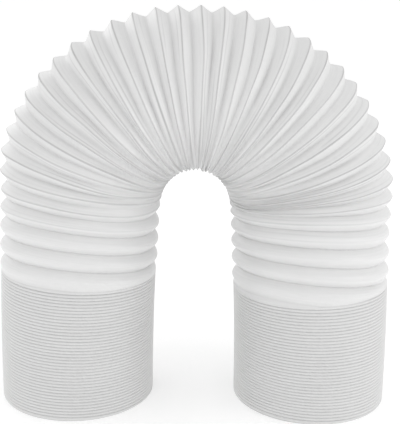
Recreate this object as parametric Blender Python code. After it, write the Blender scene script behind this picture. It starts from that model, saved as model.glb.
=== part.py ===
# Air conditioner exhaust hose: a 150 mm pleated plastic duct hose, bent into an
# upside-down U and standing on its two pushed-together ends.
# Metres, +Z up. The origin is on the floor midway between the two ends, and the
# hose is bent in the XZ plane.
# The wall is one continuous strip, pleated along a right-handed helix. Places along it
# are counted in turns of that helix, from where the left stack opens into pleats.

import math

import bmesh
import bpy
import numpy as np

# Section of the hose, over the crests of its stacks, and the flat facets round it.
# The open pleats stand a little prouder than the stacks.
hose_diameter = 0.150
open_crest_gain = 0.0009
pleat_depth = 0.0065
wall = 0.0007
columns = 28

# Pushed-together ends. The right one is as tall as the bend leaves room for.
left_stack_height = 0.128
left_stack_lean = math.radians(2.8)
right_stack_lean = math.radians(2.8)
# Ridges of their outside, each one for about two folded pleats
ridge_pitch = 0.0068
ridge_depth = 0.0013

# Open pleats between the stacks, in turns, and how many of them stay straight
open_turns = 37.2
left_leg_turns = 2.0
right_leg_turns = 2.6
# Turns over which the inner side of the bend folds shut
fold_turns = 3.9

# Pitch of the pleats on the inner side: open in the legs, folded in the arch
leg_pitch = 0.0176
folded_pitch = 0.0037

# The bend is a little tighter at its left end, and tighter at its top than at both ends
bend_skew = 0.02
bend_crown = 0.27
# The arch sags sideways: its outer side stands out by this much at the shoulders, and on
# the left the bulge sets in over this much lean
left_bulge = 0.0068
right_bulge = 0.0046
left_bulge_rise = math.radians(17.5)

# Where the first crest crosses the outer side of the left leg, in turns above the stack.
# Next to a stack the pleats open more on their outer side, so the crests slant there.
first_crest = 0.34
crest_slant = 0.18
slant_turns = 3.5
# In the legs the rows run nearly level round the front, and climb at the back
level_turns = 3.6
front_rise = 0.42

# A pleat rises to its full depth over this many turns from a stack
pleat_fade_turns = 0.5

hose_colour = (0.86, 0.87, 0.86, 1.0)
hose_roughness = 0.42

steps_per_turn = 24
merge_distance = 0.000001

outer_radius = hose_diameter / 2
crest_radius = outer_radius + open_crest_gain
valley_radius = crest_radius - pleat_depth
last_turn = open_turns


def smooth_step(low, high, value):
    share = min(max((value - low) / (high - low), 0.0), 1.0)
    return share * share * (3.0 - 2.0 * share)


def folding(turn):
    """How far the inner side is folded at a turn: 0 in the legs, 1 in the arch."""
    arch_end = last_turn - right_leg_turns
    folded = smooth_step(left_leg_turns, left_leg_turns + fold_turns, turn)
    return folded * (1.0 - smooth_step(arch_end - fold_turns, arch_end, turn))


def bend_share(turn):
    """The bend at a turn, before it is scaled so that all turns make up the whole bend."""
    arch_end = last_turn - right_leg_turns
    middle = (left_leg_turns + arch_end) / 2
    along = (turn - middle) / (arch_end - middle)
    return folding(turn) * (1.0 - bend_skew * along + bend_crown * (1.0 / 3.0 - along * along))


def inner_pitch(fold):
    return leg_pitch + (folded_pitch - leg_pitch) * fold


def open_path():
    """The centre line through the open turns: turn, x and z, and the lean from vertical."""
    steps = round(last_turn * steps_per_turn)
    turns = np.linspace(0.0, last_turn, steps + 1)
    step = last_turn / steps
    middles = (turns[:-1] + turns[1:]) / 2
    shares = np.array([bend_share(turn) for turn in middles])
    folds = np.array([folding(turn) for turn in middles])
    bends = shares / shares.sum() * (math.pi - left_stack_lean - right_stack_lean)
    lengths = inner_pitch(folds) * step + outer_radius * bends
    leans = left_stack_lean + np.concatenate([[0.0], np.cumsum(bends)])
    middle_leans = (leans[:-1] + leans[1:]) / 2
    start_x = left_stack_height * math.tan(left_stack_lean / 2)
    x = start_x + np.concatenate([[0.0], np.cumsum(lengths * np.sin(middle_leans))])
    z = left_stack_height + np.concatenate([[0.0], np.cumsum(lengths * np.cos(middle_leans))])
    return turns, x, z, leans


turns, path_x, path_z, path_lean = open_path()
right_stack_height = path_z[-1]
base_spacing = path_x[-1] + right_stack_height * math.tan(right_stack_lean / 2)


def on_ring(x, z, lean, angle, radius):
    """A point of the ring round x, z. Angle 0 is the bend's outer side, a quarter turn on the front."""
    across = radius * math.cos(angle)
    return (x - base_spacing / 2 - across * math.cos(lean), -radius * math.sin(angle),
            z + across * math.sin(lean))


def bulge(turn, lean, angle):
    """How far the outer side stands out at the arch's shoulders."""
    outward = max(math.cos(angle), 0.0)
    size = right_bulge
    if lean < math.pi / 2:
        size = left_bulge * smooth_step(0.0, left_bulge_rise, lean - left_stack_lean)
    return size * folding(turn) * abs(math.cos(lean)) * outward * outward


def on_hose(turn, angle, radius):
    x = np.interp(turn, turns, path_x)
    z = np.interp(turn, turns, path_z)
    lean = np.interp(turn, turns, path_lean)
    return on_ring(x, z, lean, angle, radius + bulge(turn, lean, angle))


def skin_offset(turn, angle):
    """The radial distance between the two skins that makes the wall as thick as it is."""
    inward = (1.0 - math.cos(angle)) / 2
    slope = math.atan2(inner_pitch(folding(turn) * inward) / 2, pleat_depth)
    return wall / math.sin(slope)


stack_bore = valley_radius - skin_offset(0.0, 0.0)


def turn_on_row(row, column):
    """The turn that a row has reached at a column, held between the two stacks."""
    angle = 2 * math.pi * column / columns
    turn = row / 2 + column / columns + first_crest
    slant = smooth_step(last_turn - slant_turns, last_turn, turn) - 1.0 + smooth_step(0.0, slant_turns, turn)
    left_level = 1.0 - smooth_step(level_turns, 2 * level_turns, turn)
    right_level = smooth_step(last_turn - 2 * level_turns, last_turn - level_turns, turn)
    front = front_rise * math.sin(angle) * (1.0 + math.sin(angle)) / 2
    inward = (1.0 - math.cos(angle)) / 2
    turn += crest_slant * slant * math.cos(angle)
    turn += left_level * (front - inward) - right_level * (front + inward)
    return min(max(turn, 0.0), last_turn)


def pleat_radius(row, turn, angle, inside):
    """The radius of a crest row (even) or a valley row (odd), faded in from both stacks."""
    fade = min(min(turn, last_turn - turn) / pleat_fade_turns, 1.0)
    radius = crest_radius if row % 2 == 0 else valley_radius
    if inside:
        return stack_bore + (radius - skin_offset(turn, angle) - stack_bore) * fade
    return outer_radius + (radius - outer_radius) * fade


def add_skin(bm, inside):
    """Crest and valley rows half a turn apart, each one climbing a turn round the hose."""
    rows = []
    for row in range(-4, math.ceil(2 * last_turn) + 3):
        line = []
        for column in range(columns + 1):
            turn = turn_on_row(row, column)
            angle = 2 * math.pi * column / columns
            radius = pleat_radius(row, turn, angle, inside)
            line.append(bm.verts.new(on_hose(turn, angle, radius)))
        rows.append(line)
    for lower, upper in zip(rows, rows[1:]):
        for column in range(columns):
            bm.faces.new([lower[column], lower[column + 1], upper[column + 1], upper[column]])


def stack_outline(base_x, height, lean):
    """Rings down the outside of a stack, from ridge to groove to ridge, then back up its bore."""
    ridges = round(height / ridge_pitch)
    side = 1.0 if base_x == 0.0 else -1.0
    bend_radius = height / math.sin(lean)
    outline = []
    for step in range(2 * ridges + 1):
        lean_here = lean * (1.0 - step / (2 * ridges))
        x = base_x + side * bend_radius * (1.0 - math.cos(lean_here))
        place = (x, bend_radius * math.sin(lean_here), lean_here if side > 0.0 else math.pi - lean_here)
        outline.append((place, outer_radius - ridge_depth * (step % 2)))
    top, end = outline[0][0], outline[-1][0]
    return outline + [(end, stack_bore), (top, stack_bore)]


def add_stack(bm, outline):
    """A stack as a thick tube, open where it meets the pleats' two skins."""
    angles = [2 * math.pi * column / columns for column in range(columns)]
    rings = []
    for place, radius in outline:
        rings.append([bm.verts.new(on_ring(*place, angle, radius)) for angle in angles])
    for first, second in zip(rings, rings[1:]):
        for column in range(columns):
            after = (column + 1) % columns
            bm.faces.new([first[column], first[after], second[after], second[column]])


def hose_mesh():
    """The outer and inner skins of the open pleats, joined through the two stacks."""
    bm = bmesh.new()
    add_skin(bm, False)
    add_skin(bm, True)
    add_stack(bm, stack_outline(0.0, left_stack_height, left_stack_lean))
    add_stack(bm, stack_outline(base_spacing, right_stack_height, right_stack_lean))
    bmesh.ops.remove_doubles(bm, verts=bm.verts, dist=merge_distance)
    bmesh.ops.dissolve_degenerate(bm, edges=bm.edges, dist=merge_distance)
    bmesh.ops.recalc_face_normals(bm, faces=bm.faces)
    mesh = bpy.data.meshes.new("pleated_hose")
    bm.to_mesh(mesh)
    bm.free()
    mesh.shade_smooth()
    mesh.set_sharp_from_angle(angle=math.radians(30))
    return mesh


def hose_material():
    material = bpy.data.materials.new("white_polypropylene")
    material.use_nodes = True
    shader = material.node_tree.nodes["Principled BSDF"]
    shader.inputs["Base Color"].default_value = hose_colour
    shader.inputs["Roughness"].default_value = hose_roughness
    shader.inputs["Metallic"].default_value = 0.0
    return material


for old in list(bpy.data.objects):
    bpy.data.objects.remove(old)

hose = bpy.data.objects.new("pleated_hose", hose_mesh())
hose.data.materials.append(hose_material())
bpy.context.scene.collection.objects.link(hose)
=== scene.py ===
# A white pleated exhaust hose, bent into an upside-down U on its two pushed-together ends.
# The whole hose wall is one piece, grown by a Geometry Nodes tree along a path worked out below.
import math

import bmesh
import bpy
import numpy as np
from mathutils import Matrix, Vector


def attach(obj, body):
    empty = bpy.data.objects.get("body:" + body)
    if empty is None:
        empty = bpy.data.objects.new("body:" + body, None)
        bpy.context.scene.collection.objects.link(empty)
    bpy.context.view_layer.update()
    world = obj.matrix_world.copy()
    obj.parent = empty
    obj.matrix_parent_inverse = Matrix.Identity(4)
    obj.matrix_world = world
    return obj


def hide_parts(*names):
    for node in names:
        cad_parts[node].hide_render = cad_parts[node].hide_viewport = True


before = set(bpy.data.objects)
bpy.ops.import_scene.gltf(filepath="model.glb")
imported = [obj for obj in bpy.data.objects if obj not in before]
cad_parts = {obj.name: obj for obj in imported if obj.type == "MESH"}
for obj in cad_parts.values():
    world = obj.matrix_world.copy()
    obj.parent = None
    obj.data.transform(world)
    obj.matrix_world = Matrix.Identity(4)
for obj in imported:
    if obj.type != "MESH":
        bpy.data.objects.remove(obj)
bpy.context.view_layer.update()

# Sizes are in metres. Places along the hose are in turns of its helix, counted from where the left stack
# opens into pleats. The path and the crests are the same as in the CAD solid.
hoseSettings = {
    "outerRadius": 0.075,
    "leftStackHeight": 0.128,
    "leftStackLean": math.radians(2.8),
    "rightStackLean": math.radians(2.8),
    "openTurns": 37.2,
    "leftLegTurns": 2.0,
    "rightLegTurns": 2.6,
    "foldTurns": 3.9,
    "legPitch": 0.0176,
    "foldedPitch": 0.0037,
    "bendSkew": 0.02,
    "bendCrown": 0.27,
    "leftBulge": 0.0068,
    "rightBulge": 0.0046,
    "leftBulgeRise": math.radians(17.5),
    "leftStackTurns": 42,
    "rightStackTurns": 38,
    "firstCrest": 0.34,
    "crestSlant": 0.18,
    "slantTurns": 3.5,
    "levelTurns": 3.6,
    "frontRise": 0.42,
    "crestGain": 0.0009,
    # the pleats' own shape, and the turns over which it fades near the stacks and the rims
    "openDepth": 0.0066,
    "fullPitch": 0.0165,
    "depthPower": 0.75,
    "stackDepth": 0.0013,
    "boreDepth": 0.0060,
    "legRoundness": 0.7,
    "archRoundness": 0.12,
    "stackRoundness": 0.8,
    "valleyRoundness": 0.35,
    "riseTurns": 0.5,
    "gainTurns": 0.5,
    "rimTurns": 0.75,
    "wall": 0.0005,
    "rimWalls": 3.0,
    "rimFlare": 1.3,
    # unevenness of the folded pleats; each noise is its change from pleat to pleat, where it starts
    # (for the creases its change from flank to flank), its change round the hose and its scale
    "creaseDepth": 0.0028,
    "creaseNoise": (1.3, 7.0, 0.7, 1.6),
    "creaseGain": 3.0,
    "creaseInward": 0.7,
    "wobble": 0.0009,
    "wobbleNoise": (0.61, 9.0, 1.0, 2.0),
    "wander": 0.6,
    "wanderNoise": (0.85, 31.0, 0.8, 1.1),
    "outerWander": 0.3,
    "seed": 3,
    # fineness of the mesh: columns round the hose, rows and guide points for each turn
    "columns": 90,
    "openRows": 12,
    "stackRows": 4,
    "innerRows": 2,
    "guideSteps": 12,
    "mergeDistance": 0.000004,
    "sliverLength": 0.000002,
    "sharpAngle": math.radians(58),
}


def smoothStep(low, high, value):
    share = min(max((value - low) / (high - low), 0.0), 1.0)
    return share * share * (3.0 - 2.0 * share)


def foldingAt(turn, s):
    # 0 in the straight legs, 1 where the inner side of the arch is folded shut
    archEnd = s["openTurns"] - s["rightLegTurns"]
    folded = smoothStep(s["leftLegTurns"], s["leftLegTurns"] + s["foldTurns"], turn)
    return folded * (1.0 - smoothStep(archEnd - s["foldTurns"], archEnd, turn))


def bendShareAt(turn, s):
    archEnd = s["openTurns"] - s["rightLegTurns"]
    middle = (s["leftLegTurns"] + archEnd) / 2
    along = (turn - middle) / (archEnd - middle)
    return foldingAt(turn, s) * (1.0 - s["bendSkew"] * along + s["bendCrown"] * (1 / 3 - along * along))


def layOutPath(s):
    # centre line of the open pleats, as in the CAD, then an arc down through each stack
    count = round(s["openTurns"] * s["guideSteps"] * 2)
    step = s["openTurns"] / count
    turns = np.linspace(0, s["openTurns"], count + 1)
    middles = (turns[:-1] + turns[1:]) / 2
    shares = np.array([bendShareAt(turn, s) for turn in middles])
    folds = np.array([foldingAt(turn, s) for turn in middles])
    bends = shares / shares.sum() * (math.pi - s["leftStackLean"] - s["rightStackLean"])
    pitches = s["legPitch"] + (s["foldedPitch"] - s["legPitch"]) * folds
    lengths = pitches * step + s["outerRadius"] * bends
    leans = s["leftStackLean"] + np.concatenate([[0.0], np.cumsum(bends)])
    middleLeans = (leans[:-1] + leans[1:]) / 2
    x = np.concatenate([[0.0], np.cumsum(lengths * np.sin(middleLeans))])
    z = np.concatenate([[0.0], np.cumsum(lengths * np.cos(middleLeans))])
    x = x + s["leftStackHeight"] * math.tan(s["leftStackLean"] / 2)
    z = z + s["leftStackHeight"]
    rightStackHeight = z[-1]
    baseSpacing = x[-1] + rightStackHeight * math.tan(s["rightStackLean"] / 2)

    points = []
    allTurns = s["leftStackTurns"] + s["openTurns"] + s["rightStackTurns"]
    for number in range(math.ceil(allTurns * s["guideSteps"]) + 2):
        turn = number / s["guideSteps"] - s["leftStackTurns"]
        if turn < 0:
            lean = s["leftStackLean"] * (1 + turn / s["leftStackTurns"])
            radius = s["leftStackHeight"] / math.sin(s["leftStackLean"])
            place = (radius * (1 - math.cos(lean)), radius * math.sin(lean))
            pitch = s["leftStackHeight"] / s["leftStackTurns"]
            points.append((turn, place[0], place[1], lean, 0.0, pitch, 0.0))
        elif turn > s["openTurns"]:
            lean = s["rightStackLean"] * (1 - (turn - s["openTurns"]) / s["rightStackTurns"])
            radius = rightStackHeight / math.sin(s["rightStackLean"])
            place = (baseSpacing - radius * (1 - math.cos(lean)), radius * math.sin(lean))
            pitch = rightStackHeight / s["rightStackTurns"]
            points.append((turn, place[0], place[1], math.pi - lean, 0.0, pitch, 0.0))
        else:
            points.append((turn, np.interp(turn, turns, x), np.interp(turn, turns, z),
                           np.interp(turn, turns, leans), foldingAt(turn, s),
                           np.interp(turn, middles, lengths) / step, np.interp(turn, middles, bends) / step))
    return np.array(points), baseSpacing


def makeGuide(s):
    # points along the centre line for the tree to sample; each carries lean, folding and bend as one
    # vector, and pitch, openness and bulge as another
    points, baseSpacing = layOutPath(s)
    mesh = bpy.data.meshes.new("hoseGuide")
    mesh.from_pydata([(point[1] - baseSpacing / 2, 0, point[2]) for point in points], [], [])
    bendData = mesh.attributes.new("bend", "FLOAT_VECTOR", "POINT")
    pitchData = mesh.attributes.new("pitch", "FLOAT_VECTOR", "POINT")
    for number, (turn, x, z, lean, folding, pitch, bend) in enumerate(points):
        isOpen = smoothStep(-0.05, 0.1, turn)
        isOpen = isOpen * (1 - smoothStep(s["openTurns"] - 0.1, s["openTurns"] + 0.05, turn))
        if lean < math.pi / 2:
            bulge = s["leftBulge"] * smoothStep(0, s["leftBulgeRise"], lean - s["leftStackLean"])
        else:
            bulge = s["rightBulge"]
        bendData.data[number].vector = (lean, folding, bend)
        pitchData.data[number].vector = (pitch, isOpen, bulge * folding * abs(math.cos(lean)))
    guide = bpy.data.objects.new("hoseGuide", mesh)
    bpy.context.scene.collection.objects.link(guide)
    return guide


class Number:
    # a number inside a node tree, so that the pleat rules below read as plain sums
    def __init__(self, tree, socket):
        self.tree = tree
        self.socket = socket

    def __add__(self, other):
        return mathNode(self.tree, "ADD", self, other)

    def __radd__(self, other):
        return mathNode(self.tree, "ADD", other, self)

    def __sub__(self, other):
        return mathNode(self.tree, "SUBTRACT", self, other)

    def __rsub__(self, other):
        return mathNode(self.tree, "SUBTRACT", other, self)

    def __mul__(self, other):
        return mathNode(self.tree, "MULTIPLY", self, other)

    def __rmul__(self, other):
        return mathNode(self.tree, "MULTIPLY", other, self)

    def __truediv__(self, other):
        return mathNode(self.tree, "DIVIDE", self, other)


def plug(tree, value, socket):
    if isinstance(value, Number):
        tree.links.new(value.socket, socket)
    elif hasattr(value, "links"):
        tree.links.new(value, socket)
    else:
        socket.default_value = value


def mathNode(tree, operation, *values):
    node = tree.nodes.new("ShaderNodeMath")
    node.operation = operation
    for value, socket in zip(values, node.inputs):
        plug(tree, value, socket)
    return Number(tree, node.outputs[0])


def addNode(tree, kind, inputs=None, **options):
    node = tree.nodes.new(kind)
    for name, value in options.items():
        setattr(node, name, value)
    for name, value in (inputs or {}).items():
        plug(tree, value, node.inputs[name])
    return node


def splitVector(tree, vector):
    parts = addNode(tree, "ShaderNodeSeparateXYZ", {"Vector": vector})
    return [Number(tree, part) for part in parts.outputs]


def joinVector(tree, x, y, z):
    return addNode(tree, "ShaderNodeCombineXYZ", {"X": x, "Y": y, "Z": z}).outputs[0]


def sampleGuide(tree, guide, value, index):
    # reads a guide value between two of its points
    low = mathNode(tree, "FLOOR", index)
    share = index - low
    picks = []
    for at in (low, low + 1.0):
        pick = tree.nodes.new("GeometryNodeSampleIndex")
        pick.data_type = "FLOAT_VECTOR"
        pick.clamp = True
        plug(tree, guide, pick.inputs[0])
        plug(tree, value, pick.inputs[1])
        plug(tree, at, pick.inputs[2])
        picks.append(pick.outputs[0])
    mix = tree.nodes.new("ShaderNodeMix")
    mix.data_type = "VECTOR"
    plug(tree, share, mix.inputs[0])
    plug(tree, picks[0], mix.inputs[4])
    plug(tree, picks[1], mix.inputs[5])
    return splitVector(tree, mix.outputs[1])


def guideAttribute(tree, name):
    node = addNode(tree, "GeometryNodeInputNamedAttribute", {"Name": name}, data_type="FLOAT_VECTOR")
    return node.outputs[0]


def noiseAt(tree, x, y, z, scale, detail=1.0):
    node = addNode(tree, "ShaderNodeTexNoise", {"Vector": joinVector(tree, x, y, z), "Scale": scale,
                                                "Detail": detail})
    return Number(tree, node.outputs[0]) - 0.5


def stepNode(tree, low, high, value):
    # 0 below low, 1 above high, and an even curve between them
    inputs = {"Value": value, "From Min": float(low), "From Max": float(high)}
    node = addNode(tree, "ShaderNodeMapRange", inputs, interpolation_type="SMOOTHSTEP")
    return Number(tree, node.outputs[0])


def mixed(tree, first, second, share):
    node = tree.nodes.new("ShaderNodeMix")
    plug(tree, share, node.inputs[0])
    plug(tree, first, node.inputs[2])
    plug(tree, second, node.inputs[3])
    return Number(tree, node.outputs[0])


def held(tree, value, low, high):
    return mathNode(tree, "MAXIMUM", mathNode(tree, "MINIMUM", value, float(high)), float(low))


def fadeNear(tree, turn, place, turns):
    # 0 at a place along the hose, 1 from that many turns away from it
    return mathNode(tree, "MINIMUM", mathNode(tree, "ABSOLUTE", turn - place), turns) / turns


def ringNoise(tree, number, cosine, sine, changes):
    # a noise that changes from pleat to pleat and round the hose
    perPleat, start, roundHose, scale = changes
    return noiseAt(tree, number * perPleat + start, cosine * roundHose, sine * roundHose, scale)


def makeRows(tree, s, outside):
    # a grid whose rows climb a turn round the hose, so that every crest and valley lies along a row
    columns = float(s["columns"])
    stackRows = s["stackRows"] if outside else s["innerRows"]
    openRows = s["openRows"] if outside else s["innerRows"]
    firstFine = -2
    lastFine = math.ceil(s["openTurns"])
    leftRows = s["leftStackTurns"] * stackRows
    middleRows = (lastFine - firstFine) * openRows
    rightRows = s["rightStackTurns"] * stackRows
    # the inner skin has one more row at each end, which closes the wall at the rims
    total = leftRows + middleRows + rightRows + (0 if outside else 2)
    grid = addNode(tree, "GeometryNodeMeshGrid", {"Size X": 1.0, "Size Y": 1.0,
                                                  "Vertices X": s["columns"] + 1, "Vertices Y": total + 1})
    place = splitVector(tree, tree.nodes.new("GeometryNodeInputPosition").outputs[0])
    around = mathNode(tree, "ROUND", (place[0] + 0.5) * columns) / columns
    rawRow = mathNode(tree, "ROUND", (place[1] + 0.5) * float(total))
    row = rawRow if outside else rawRow - 1.0

    # rows are coarse in the stacks and fine between them; one turn at each change fans out
    coarseLeft = held(tree, row, 0, leftRows) / float(stackRows)
    fine = held(tree, row - float(leftRows), 0, middleRows) / float(openRows)
    coarseRight = held(tree, row - float(leftRows + middleRows), 0, rightRows) / float(stackRows)
    evenTurn = coarseLeft + fine + coarseRight - float(s["leftStackTurns"] - firstFine)
    steppedTurn = mathNode(tree, "ROUND", evenTurn * float(stackRows)) / float(stackRows)
    inFirst = mathNode(tree, "COMPARE", evenTurn, firstFine + 0.5, 0.5)
    inLast = mathNode(tree, "COMPARE", evenTurn, lastFine - 0.5, 0.5)
    stepping = inFirst * (1.0 - around) + inLast * around
    pleat = evenTurn + (steppedTurn - evenTurn) * stepping
    atStart = mathNode(tree, "COMPARE", rawRow, 0.0, 0.4)
    atRim = mathNode(tree, "COMPARE", rawRow, float(total), 0.4) + atStart
    return grid.outputs[0], around, pleat, atRim


def climbedTurn(tree, sizes, plainTurn, cosine, sine, inward, s):
    # a pleat opens first on its outer side, so crests slant a little next to each stack;
    # in the legs the rows run level round the front and climb at the back
    slant = stepNode(tree, s["openTurns"] - s["slantTurns"], s["openTurns"], plainTurn) \
        - 1.0 + stepNode(tree, 0.0, s["slantTurns"], plainTurn)
    leftLevel = 1.0 - stepNode(tree, s["levelTurns"], 2 * s["levelTurns"], plainTurn)
    rightLevel = stepNode(tree, s["openTurns"] - 2 * s["levelTurns"],
                          s["openTurns"] - s["levelTurns"], plainTurn)
    front = sine * (sine + 1.0) * 0.5 * sizes["Front Rise"]
    turn = plainTurn + slant * cosine * sizes["Crest Slant"]
    return turn + leftLevel * (front - inward) - rightLevel * (front + inward)


def pleatDrop(tree, sizes, apart, folding, isOpen):
    # how far the outer skin has sunk between a crest (0) and a valley (1)
    openRoundness = mixed(tree, sizes["Leg Roundness"], sizes["Arch Roundness"], folding)
    roundness = mixed(tree, sizes["Stack Roundness"], openRoundness, isOpen)
    rounded = mathNode(tree, "SQRT", apart * apart + roundness * roundness) - roundness
    full = mathNode(tree, "SQRT", roundness * roundness + 1.0) - roundness
    soft = mathNode(tree, "SINE", apart * (math.pi / 2))
    return mixed(tree, rounded / full, soft, folding * sizes["Valley Roundness"])


def storeMarks(tree, mesh, marks):
    # values that the material reads at each corner
    for name, value in marks.items():
        inputs = {"Geometry": mesh, "Name": name, "Value": value}
        store = addNode(tree, "GeometryNodeStoreNamedAttribute", inputs, data_type="FLOAT", domain="CORNER")
        mesh = store.outputs[0]
    return mesh


def addSkin(tree, sizes, guide, outside, s):
    # the outer or the inner skin of the wall
    mesh, around, pleat, atRim = makeRows(tree, s, outside)
    angle = around * (2 * math.pi)
    cosine = mathNode(tree, "COSINE", angle)
    sine = mathNode(tree, "SINE", angle)
    inward = (1.0 - cosine) * 0.5
    lowEnd = -float(s["leftStackTurns"])
    highEnd = float(s["openTurns"] + s["rightStackTurns"])
    guideSteps = float(s["guideSteps"])
    turn = climbedTurn(tree, sizes, pleat + around + sizes["First Crest"], cosine, sine, inward, s)

    # the folded pleats of the arch wander a little from their even spacing
    fold = sampleGuide(tree, guide, guideAttribute(tree, "bend"), (turn - lowEnd) * guideSteps)[1]
    drift = ringNoise(tree, pleat + around, cosine, sine, s["wanderNoise"])
    reachInward = inward * (1.0 - s["outerWander"]) + s["outerWander"]
    turn = turn + drift * fold * reachInward * sizes["Wander"]
    turn = held(tree, turn, lowEnd, highEnd)

    index = (turn - lowEnd) * guideSteps
    centre = sampleGuide(tree, guide, tree.nodes.new("GeometryNodeInputPosition").outputs[0], index)
    lean, folding, bend = sampleGuide(tree, guide, guideAttribute(tree, "bend"), index)
    pathPitch, isOpen, bulge = sampleGuide(tree, guide, guideAttribute(tree, "pitch"), index)

    radius = sizes["Hose Radius"]
    halfPitch = mathNode(tree, "MAXIMUM", (pathPitch + bend * cosine * radius) * 0.5, 0.001)

    # how far a point lies from its crest: 0 on it, 1 in the valley
    nearest = mathNode(tree, "ROUND", pleat)
    side = (pleat - nearest) * 2.0
    apart = mathNode(tree, "ABSOLUTE", side)
    drop = pleatDrop(tree, sizes, apart, folding, isOpen) if outside else apart

    # the groove that shows is shallower where the pleats are pushed together, as their crests meet
    share = mathNode(tree, "MINIMUM", halfPitch * 2.0 / sizes["Full Pitch"], 1.0)
    openDepth = sizes["Open Depth"] * mathNode(tree, "POWER", share, sizes["Depth Power"])
    depth = mixed(tree, sizes["Stack Depth"] if outside else s["boreDepth"], openDepth, isOpen)

    # pleats rise out of each stack over part of a turn, and are cut flat at both rims
    riseLeft = fadeNear(tree, turn, 0.0, s["riseTurns"])
    riseRight = fadeNear(tree, turn, s["openTurns"], s["riseTurns"])
    fade = mathNode(tree, "MINIMUM", riseLeft, riseRight) if outside else 1.0
    rimFade = mathNode(tree, "MINIMUM", fadeNear(tree, turn, lowEnd, s["rimTurns"]),
                       fadeNear(tree, turn, highEnd, s["rimTurns"]))
    sink = drop * depth * rimFade * fade

    # each flank has a crease along its middle that deepens towards the inner side of the bend
    strip = nearest + around
    flank = mathNode(tree, "SIGN", side)
    perPleat, perFlank, roundHose, scale = s["creaseNoise"]
    creasePlace = strip * perPleat + flank * perFlank + sizes["Seed"]
    creaseNoise = noiseAt(tree, creasePlace, cosine * roundHose, sine * roundHose, scale)
    crumple = (1.0 - mathNode(tree, "ABSOLUTE", apart * 2.0 - 1.0)) * creaseNoise * s["creaseGain"]
    crumple = crumple * folding * sizes["Crease Depth"] * mathNode(tree, "POWER", inward, s["creaseInward"])
    swellNoise = ringNoise(tree, strip, cosine, sine, s["wobbleNoise"])
    swell = swellNoise * folding * sizes["Wobble"] * 2.0 * (1.0 - apart)

    outward = mathNode(tree, "MAXIMUM", cosine, 0.0)
    opened = stepNode(tree, 0.0, s["gainTurns"], turn)
    opened = opened * (1.0 - stepNode(tree, s["openTurns"] - s["gainTurns"], s["openTurns"], turn))
    reach = radius + bulge * outward * outward + sizes["Crest Gain"] * opened - sink
    if outside:
        reach = reach + (crumple - mathNode(tree, "ABSOLUTE", swell)) * fade
    else:
        # the inner skin keeps clear of every crease, and turns into a plain bore at the rims
        slope = mathNode(tree, "SQRT", halfPitch * halfPitch + depth * depth) / halfPitch
        reach = reach - slope * sizes["Wall"] - mathNode(tree, "ABSOLUTE", crumple)
        reach = reach - sizes["Wobble"] * folding
        fromRim = mathNode(tree, "MINIMUM", turn - lowEnd, highEnd - turn)
        plainBore = radius - sizes["Wall"] * s["rimWalls"]
        reach = mixed(tree, plainBore, reach, mathNode(tree, "MINIMUM", fromRim * s["rimFlare"], 1.0))
        reach = mixed(tree, reach, radius, atRim)

    across = reach * cosine
    position = joinVector(tree, centre[0] - across * mathNode(tree, "COSINE", lean), reach * sine * -1.0,
                          centre[2] + across * mathNode(tree, "SINE", lean))
    # for the material: millimetres along the pleat from its crest and from its valley, then its place
    mesh = storeMarks(tree, mesh, {
        "fromCrest": apart * halfPitch * 1000.0,
        "fromValley": (1.0 - apart) * halfPitch * 1000.0,
        "folding": folding,
        "openness": isOpen,
        "inward": inward,
        "pleat": pleat,
        "around": around,
    })
    return addNode(tree, "GeometryNodeSetPosition", {"Geometry": mesh, "Position": position}).outputs[0]


# Inputs of the tree, and the setting that each one takes
treeInputs = {
    "Hose Radius": "outerRadius",
    "Open Depth": "openDepth",
    "Full Pitch": "fullPitch",
    "Depth Power": "depthPower",
    "Stack Depth": "stackDepth",
    "Leg Roundness": "legRoundness",
    "Arch Roundness": "archRoundness",
    "Stack Roundness": "stackRoundness",
    "Crease Depth": "creaseDepth",
    "Wobble": "wobble",
    "Wander": "wander",
    "Valley Roundness": "valleyRoundness",
    "Wall": "wall",
    "Crest Gain": "crestGain",
    "First Crest": "firstCrest",
    "Crest Slant": "crestSlant",
    "Front Rise": "frontRise",
    "Seed": "seed",
}


def makeHoseTree(s):
    tree = bpy.data.node_groups.new("pleatedHose", "GeometryNodeTree")
    face = tree.interface
    face.new_socket(name="Geometry", in_out="OUTPUT", socket_type="NodeSocketGeometry")
    face.new_socket(name="Geometry", in_out="INPUT", socket_type="NodeSocketGeometry")
    face.new_socket(name="Guide", in_out="INPUT", socket_type="NodeSocketObject")
    for name in treeInputs:
        face.new_socket(name=name, in_out="INPUT", socket_type="NodeSocketFloat")
    face.new_socket(name="Material", in_out="INPUT", socket_type="NodeSocketMaterial")
    given = tree.nodes.new("NodeGroupInput")
    sizes = {name: Number(tree, given.outputs[name]) for name in treeInputs}
    guide = addNode(tree, "GeometryNodeObjectInfo", {"Object": given.outputs["Guide"]}).outputs["Geometry"]
    join = tree.nodes.new("GeometryNodeJoinGeometry")
    outer = addSkin(tree, sizes, guide, True, s)
    inner = addSkin(tree, sizes, guide, False, s)
    inner = addNode(tree, "GeometryNodeFlipFaces", {"Mesh": inner}).outputs[0]
    tree.links.new(outer, join.inputs[0])
    tree.links.new(inner, join.inputs[0])
    merged = addNode(tree, "GeometryNodeMergeByDistance", {"Geometry": join.outputs[0],
                                                           "Distance": s["mergeDistance"]})
    smooth = addNode(tree, "GeometryNodeSetShadeSmooth", {"Geometry": merged.outputs[0]})
    real = addNode(tree, "GeometryNodeRealizeInstances", {"Geometry": smooth.outputs[0]})
    painted = addNode(tree, "GeometryNodeSetMaterial", {"Geometry": real.outputs[0],
                                                        "Material": given.outputs["Material"]})
    result = tree.nodes.new("NodeGroupOutput")
    tree.links.new(painted.outputs[0], result.inputs[0])
    return tree


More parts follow.
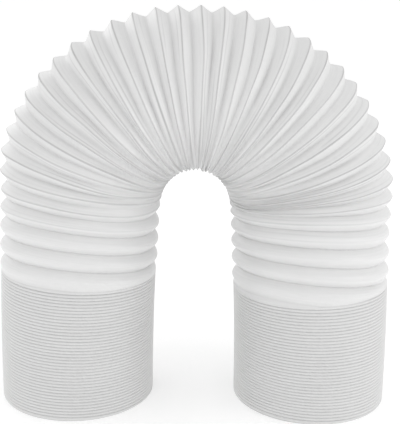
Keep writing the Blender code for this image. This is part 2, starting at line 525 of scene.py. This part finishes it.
def growHose(s, material):
    guide = makeGuide(s)
    tree = makeHoseTree(s)
    hose = bpy.data.objects.new("pleatedHose", bpy.data.meshes.new("pleatedHose"))
    bpy.context.scene.collection.objects.link(hose)
    modifier = hose.modifiers.new("pleats", "NODES")
    modifier.node_group = tree
    for item in tree.interface.items_tree:
        if item.in_out != "INPUT" or item.name == "Geometry":
            continue
        if item.name == "Guide":
            modifier[item.identifier] = guide
        elif item.name == "Material":
            modifier[item.identifier] = material
        else:
            modifier[item.identifier] = float(s[treeInputs[item.name]])
    depsgraph = bpy.context.evaluated_depsgraph_get()
    grown = bpy.data.meshes.new_from_object(hose.evaluated_get(depsgraph), depsgraph=depsgraph)
    hose.modifiers.clear()
    hose.data = grown
    bpy.data.objects.remove(guide)
    return hose


def cleanHose(hose, s):
    # merged end rows leave flat slivers; without them every edge joins two faces
    bm = bmesh.new()
    bm.from_mesh(hose.data)
    bmesh.ops.dissolve_degenerate(bm, edges=bm.edges, dist=s["sliverLength"])
    bmesh.ops.recalc_face_normals(bm, faces=bm.faces)
    if bm.calc_volume(signed=True) < 0:
        bmesh.ops.reverse_faces(bm, faces=bm.faces)
    openEdges = sum(1 for edge in bm.edges if len(edge.link_faces) != 2)
    triangles = sum(len(face.verts) - 2 for face in bm.faces)
    volume = bm.calc_volume(signed=True)
    bm.to_mesh(hose.data)
    bm.free()
    hose.data.shade_smooth()
    hose.data.set_sharp_from_angle(angle=s["sharpAngle"])
    print("hose wall:", triangles, "triangles,", openEdges, "open edges,", round(volume * 1e6), "cm3")


# How the polypropylene looks: tones of its base colour, with the stacks darkened as painted shade, how dark
# the painted shade along its folds is and how wide in millimetres, and its finish. The noises of its folds
# are given as their change from pleat to pleat, where they start, and their changes for each metre along y
# and z.
hoseLook = {
    "tone": 0.78,
    # the stacks' tone: darker as painted shade of their packed grooves
    "stackShadeTone": 0.93,
    "blueShare": 0.998,
    "cloudScale": 16.0,
    "mottling": 0.03,
    "streaks": 0.11,
    # change for each millimetre off the crest, from flank to flank, along y, along x and z, and its scale
    "streakNoise": (0.55, 5.0, 14.0, 5.0, 1.5),
    "legShadeLine": 0.05,
    "legLineLoss": 0.85,
    "archShadeLine": 0.30,
    "leastArchLine": 0.2,
    "lineWidth": 1.25,
    "lineNoise": (1.1, 0.0, 20.0, 9.0),
    "lineContrast": 1.6,
    "stackShadeLine": 0.14,
    "stackLineWidth": 0.9,
    "tightPleat": 0.6,
    "roomyPleat": 4.0,
    "secondShadeLine": 0.22,
    "secondWidth": 0.9,
    "secondPlace": 0.45,
    "secondDrift": 0.6,
    "secondNoise": (3.1, 5.0, 9.0, 4.0),
    "presentNoise": (1.9, 17.0, 6.0, 3.0),
    "presentFrom": -0.02,
    "presentTo": 0.10,
    "secondHalfway": 0.7,
    "secondElsewhere": 0.2,
    "valleyShade": 0.17,
    "shadeWidth": 3.4,
    "shadeNoise": (2.3, 40.0, 7.0, 4.0),
    "shadeContrast": 3.0,
    "leastShade": 0.1,
    "innerShadeLoss": 0.7,
    "roughness": 0.40,
    "cloudRoughness": 0.14,
    "streakRoughness": 0.10,
    "lineRoughness": 0.5,
    "grainScale": 1500.0,
    "grainHeight": 0.00002,
    "streakHeight": 0.00020,
    "bumpStrength": 0.6,
}


def readFactor(tree, name):
    node = addNode(tree, "ShaderNodeAttribute", attribute_name=name)
    return Number(tree, node.outputs["Fac"])


def nearLine(tree, distance, width):
    # 1 on a fold, 0 from a width away
    return 1.0 - stepNode(tree, 0.0, width, distance)


def pleatNoise(tree, number, y, z, changes, detail=1.0):
    perPleat, start, alongY, alongZ = changes
    return noiseAt(tree, number * perPleat + start, y * alongY, z * alongZ, 1.0, detail)


def addFoldShade(tree, s, y, z):
    # how much darker the folds are painted: painted shade along the creases, the valleys and the stacks'
    # grooves
    fromCrest = readFactor(tree, "fromCrest")
    fromValley = readFactor(tree, "fromValley")
    folding = readFactor(tree, "folding")
    openness = readFactor(tree, "openness")
    inward = readFactor(tree, "inward")
    pleat = readFactor(tree, "pleat")
    around = readFactor(tree, "around")
    strip = mathNode(tree, "ROUND", pleat) + around
    flank = mathNode(tree, "FLOOR", pleat * 2.0) * 0.5 + around

    # the film is doubled where it is folded; the folds show as thin darker lines that come and go, which are
    # painted shade in its creases and valleys
    lineNoise = pleatNoise(tree, strip, y, z, s["lineNoise"], 2.0) * s["lineContrast"] + 1.0
    room = stepNode(tree, s["tightPleat"], s["roomyPleat"], fromCrest + fromValley)
    inLegs = openness * (1.0 - folding * s["legLineLoss"])
    inArch = openness * folding * (room * (1.0 - s["leastArchLine"]) + s["leastArchLine"])
    # thin dark lines of painted shade: in the legs' valleys, along the arch's crests and in the stacks'
    # grooves
    valleyShadeLine = nearLine(tree, fromValley, s["lineWidth"]) * inLegs * s["legShadeLine"]
    crestShadeLine = nearLine(tree, fromCrest, s["lineWidth"]) * inArch * s["archShadeLine"]
    stackShadeLine = nearLine(tree, fromValley, s["stackLineWidth"]) * (1.0 - openness) * s["stackShadeLine"]

    # halfway round, some flanks of the arch have a second crease, drawn as a thin line of painted shade
    halfway = inward * (1.0 - inward) * 4.0
    secondNoise = pleatNoise(tree, flank, y, z, s["secondNoise"])
    secondPlace = (fromCrest + fromValley) * (secondNoise * s["secondDrift"] + s["secondPlace"])
    fromSecond = mathNode(tree, "ABSOLUTE", fromCrest - secondPlace)
    presentNoise = pleatNoise(tree, flank, y, z, s["presentNoise"])
    present = stepNode(tree, s["presentFrom"], s["presentTo"], presentNoise)
    secondShadeLine = nearLine(tree, fromSecond, s["secondWidth"]) * present * inArch
    secondShadeLine = secondShadeLine * (halfway * s["secondHalfway"] + s["secondElsewhere"]) * s["secondShadeLine"]

    # the arch's valleys lie in soft shade there
    shadeNoise = pleatNoise(tree, flank, y, z, s["shadeNoise"]) * s["shadeContrast"] + 1.0
    shadeNoise = mathNode(tree, "MAXIMUM", shadeNoise, s["leastShade"])
    shade = nearLine(tree, fromValley, s["shadeWidth"]) * inArch * halfway
    shade = shade * (1.0 - inward * s["innerShadeLoss"]) * shadeNoise * s["valleyShade"]
    dark = (valleyShadeLine + crestShadeLine + secondShadeLine) * lineNoise + stackShadeLine + shade
    return dark, openness, fromCrest, flank


def makeHoseMaterial(s):
    material = bpy.data.materials.new("whitePolypropylene")
    material.use_nodes = True
    tree = material.node_tree
    shader = tree.nodes["Principled BSDF"]
    x, y, z = splitVector(tree, addNode(tree, "ShaderNodeTexCoord").outputs["Object"])
    dark, openness, fromCrest, flank = addFoldShade(tree, s, y, z)

    # broad cloudiness of the film, streaks that run along the pleats, and a fine grain
    cloud = noiseAt(tree, x, y, z, s["cloudScale"], 2.0)
    perMillimetre, perFlank, alongY, alongXZ, scale = s["streakNoise"]
    streakPlace = fromCrest * perMillimetre + flank * perFlank
    streak = noiseAt(tree, streakPlace, y * alongY, z * alongXZ + x * alongXZ, scale, 3.0)
    grain = noiseAt(tree, x, y, z, s["grainScale"], 2.0)

    # the folded stacks are darkened as a whole: painted shade of their grooves
    stackShadeShare = openness * (1.0 - s["stackShadeTone"]) + s["stackShadeTone"]
    tone = (1.0 - dark) * (cloud * s["mottling"] + streak * s["streaks"] + s["tone"]) * stackShadeShare
    blue = tone * s["blueShare"]
    colour = addNode(tree, "ShaderNodeCombineColor", {"Red": tone, "Green": tone, "Blue": blue})
    tree.links.new(colour.outputs[0], shader.inputs["Base Color"])

    roughness = cloud * s["cloudRoughness"] + streak * s["streakRoughness"] + dark * s["lineRoughness"]
    plug(tree, roughness + s["roughness"], shader.inputs["Roughness"])
    height = grain * s["grainHeight"] + streak * s["streakHeight"]
    bump = addNode(tree, "ShaderNodeBump", {"Strength": s["bumpStrength"], "Distance": 1.0, "Height": height})
    tree.links.new(bump.outputs[0], shader.inputs["Normal"])
    return material


print("growing the hose")
hose = growHose(hoseSettings, makeHoseMaterial(hoseLook))
cleanHose(hose, hoseSettings)
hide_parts("pleated_hose")
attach(hose, "root")

# Studio: a pale floor, a white surround, softboxes on both sides and one behind on the left
studioSettings = {
    "floorSize": 80.0,
    "floorColour": (0.9, 0.9, 0.9, 1),
    "floorRoughness": 0.9,
    "floorGlow": 0.24,
    "surroundStrength": 0.88,
    "overheadStrength": 0.84,
    # name, where it stands, what it faces, its width and height, and its power
    "softboxes": [
        ("rightSoftbox", (1.5, -0.6, 0.7), (0, 0, 0.2), (1.0, 1.2), 4.0),
        ("leftSoftbox", (-1.5, -0.6, 0.6), (0, 0, 0.2), (1.0, 1.2), 1.6),
        ("rearSoftbox", (-1.0, 1.4, 0.95), (0, 0, 0.25), (1.0, 1.0), 3.2),
    ],
    "cameraPlace": (0.0046, -0.799, 0.3975),
    "cameraPitch": 0.261,
    "cameraRoll": 0.014,
    "focalPixels": 858.4,
    "imageHeight": 424,
    "sensorSize": 36,
}


def makeFloor(s):
    half = s["floorSize"] / 2
    mesh = bpy.data.meshes.new("studioFloor")
    corners = [(-half, -half, 0), (half, -half, 0), (half, half, 0), (-half, half, 0)]
    mesh.from_pydata(corners, [], [(0, 1, 2, 3)])
    floor = bpy.data.objects.new("studioFloor", mesh)
    bpy.context.scene.collection.objects.link(floor)
    material = bpy.data.materials.new("paleFloor")
    material.use_nodes = True
    shader = material.node_tree.nodes["Principled BSDF"]
    shader.inputs["Base Color"].default_value = s["floorColour"]
    shader.inputs["Roughness"].default_value = s["floorRoughness"]
    shader.inputs["Emission Color"].default_value = (1, 1, 1, 1)
    shader.inputs["Emission Strength"].default_value = s["floorGlow"]
    mesh.materials.append(material)


def makeSurround(s):
    world = bpy.data.worlds.new("softboxRoom")
    world.use_nodes = True
    tree = world.node_tree
    background = tree.nodes["Background"]
    background.inputs["Color"].default_value = (1, 1, 1, 1)
    direction = addNode(tree, "ShaderNodeTexCoord").outputs["Generated"]
    height = mathNode(tree, "MAXIMUM", splitVector(tree, direction)[2], 0.0)
    strength = mixed(tree, s["surroundStrength"], s["overheadStrength"], height)
    plug(tree, strength, background.inputs["Strength"])
    bpy.context.scene.world = world


def makeLight(name, place, target, size, power):
    light = bpy.data.lights.new(name, "AREA")
    light.shape = "RECTANGLE"
    light.size, light.size_y = size
    light.energy = power
    lamp = bpy.data.objects.new(name, light)
    lamp.location = place
    lamp.rotation_euler = (Vector(target) - Vector(place)).to_track_quat("-Z", "Y").to_euler()
    bpy.context.scene.collection.objects.link(lamp)


def makeCamera(s):
    camera = bpy.data.cameras.new("photoCamera")
    # the picture is taller than it is wide, so the sensor's size counts along its height
    camera.sensor_width = s["sensorSize"]
    camera.lens = s["focalPixels"] / s["imageHeight"] * s["sensorSize"]
    holder = bpy.data.objects.new("photoCamera", camera)
    bpy.context.scene.collection.objects.link(holder)
    level = Vector((1, 0, 0))
    up = Vector((0, math.sin(s["cameraPitch"]), math.cos(s["cameraPitch"])))
    ahead = Vector((0, math.cos(s["cameraPitch"]), -math.sin(s["cameraPitch"])))
    right = math.cos(s["cameraRoll"]) * level + math.sin(s["cameraRoll"]) * up
    top = math.cos(s["cameraRoll"]) * up - math.sin(s["cameraRoll"]) * level
    turn = Matrix((right, top, -ahead)).transposed().to_4x4()
    turn.translation = Vector(s["cameraPlace"])
    holder.matrix_world = turn
    bpy.context.scene.camera = holder


print("studio")
makeFloor(studioSettings)
makeSurround(studioSettings)
for softbox in studioSettings["softboxes"]:
    makeLight(*softbox)
makeCamera(studioSettings)
bpy.context.scene.view_settings.view_transform = "Standard"

print("done")
